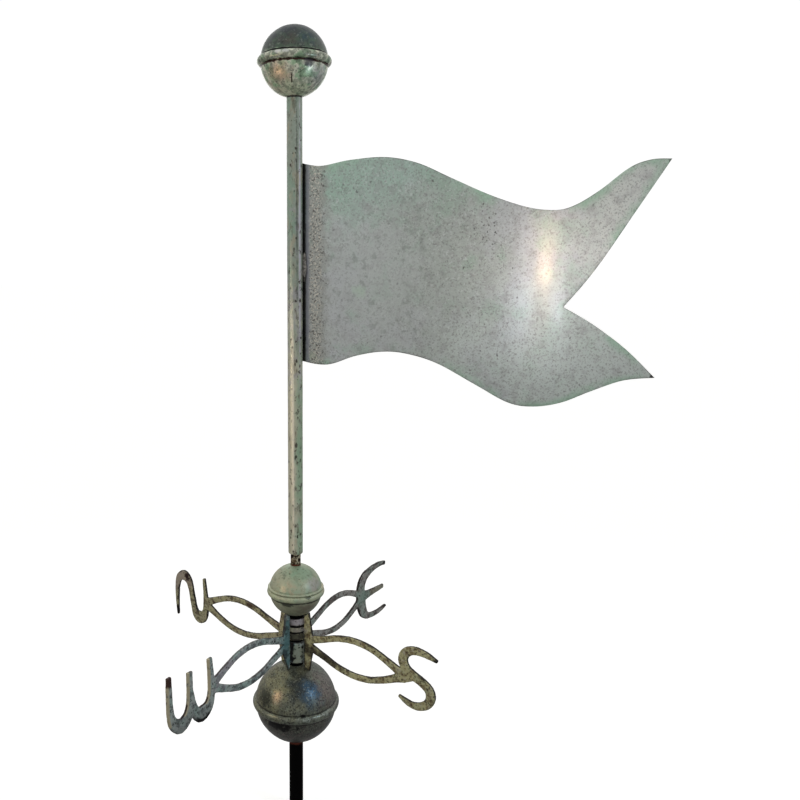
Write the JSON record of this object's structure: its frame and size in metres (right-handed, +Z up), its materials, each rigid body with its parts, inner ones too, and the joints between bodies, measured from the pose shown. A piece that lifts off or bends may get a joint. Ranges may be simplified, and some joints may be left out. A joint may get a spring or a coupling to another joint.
{
  "type": "banner weathervane",
  "caption": "Roof weathervane: a wavy swallowtail banner on a tube that turns on a steel spindle, with banded balls and cast compass arms below.",
  "frame": {"origin": "centre of the flat foot of the steel rod, where the roof or post mount takes it", "axes": "+Z up along the rod, +X east arm, +Y north arm; the flag rests pointing between east and south"},
  "size_m": [0.4317, 0.4932, 0.8578],
  "materials": {
    "sheet_copper": "grey-green verdigris patina under satin lacquer, with dark speckles",
    "ball_copper": "mottled green and near-black patina, satin",
    "cast_bronze": "olive and blue-green patina on a cast skin, dark at the edges",
    "black_steel": "black, worn to brown metal at its upper end"
  },
  "bodies": {
    "stand": {"support_rod": "black_steel", "large_ball": "ball_copper", "small_ball": "ball_copper", "arm_east": "cast_bronze", "arm_north": "cast_bronze", "arm_west": "cast_bronze", "arm_south": "cast_bronze"},
    "vane": {"vane_tube": "sheet_copper", "flag": "sheet_copper", "top_ball": "ball_copper"}
  },
  "joints": [
    {"name": "vane_turn", "type": "hinge", "parent": "stand", "child": "vane", "pos_m": [0, 0, 0.55], "axis": [0, 0, 1], "continuous": true}
  ]
}
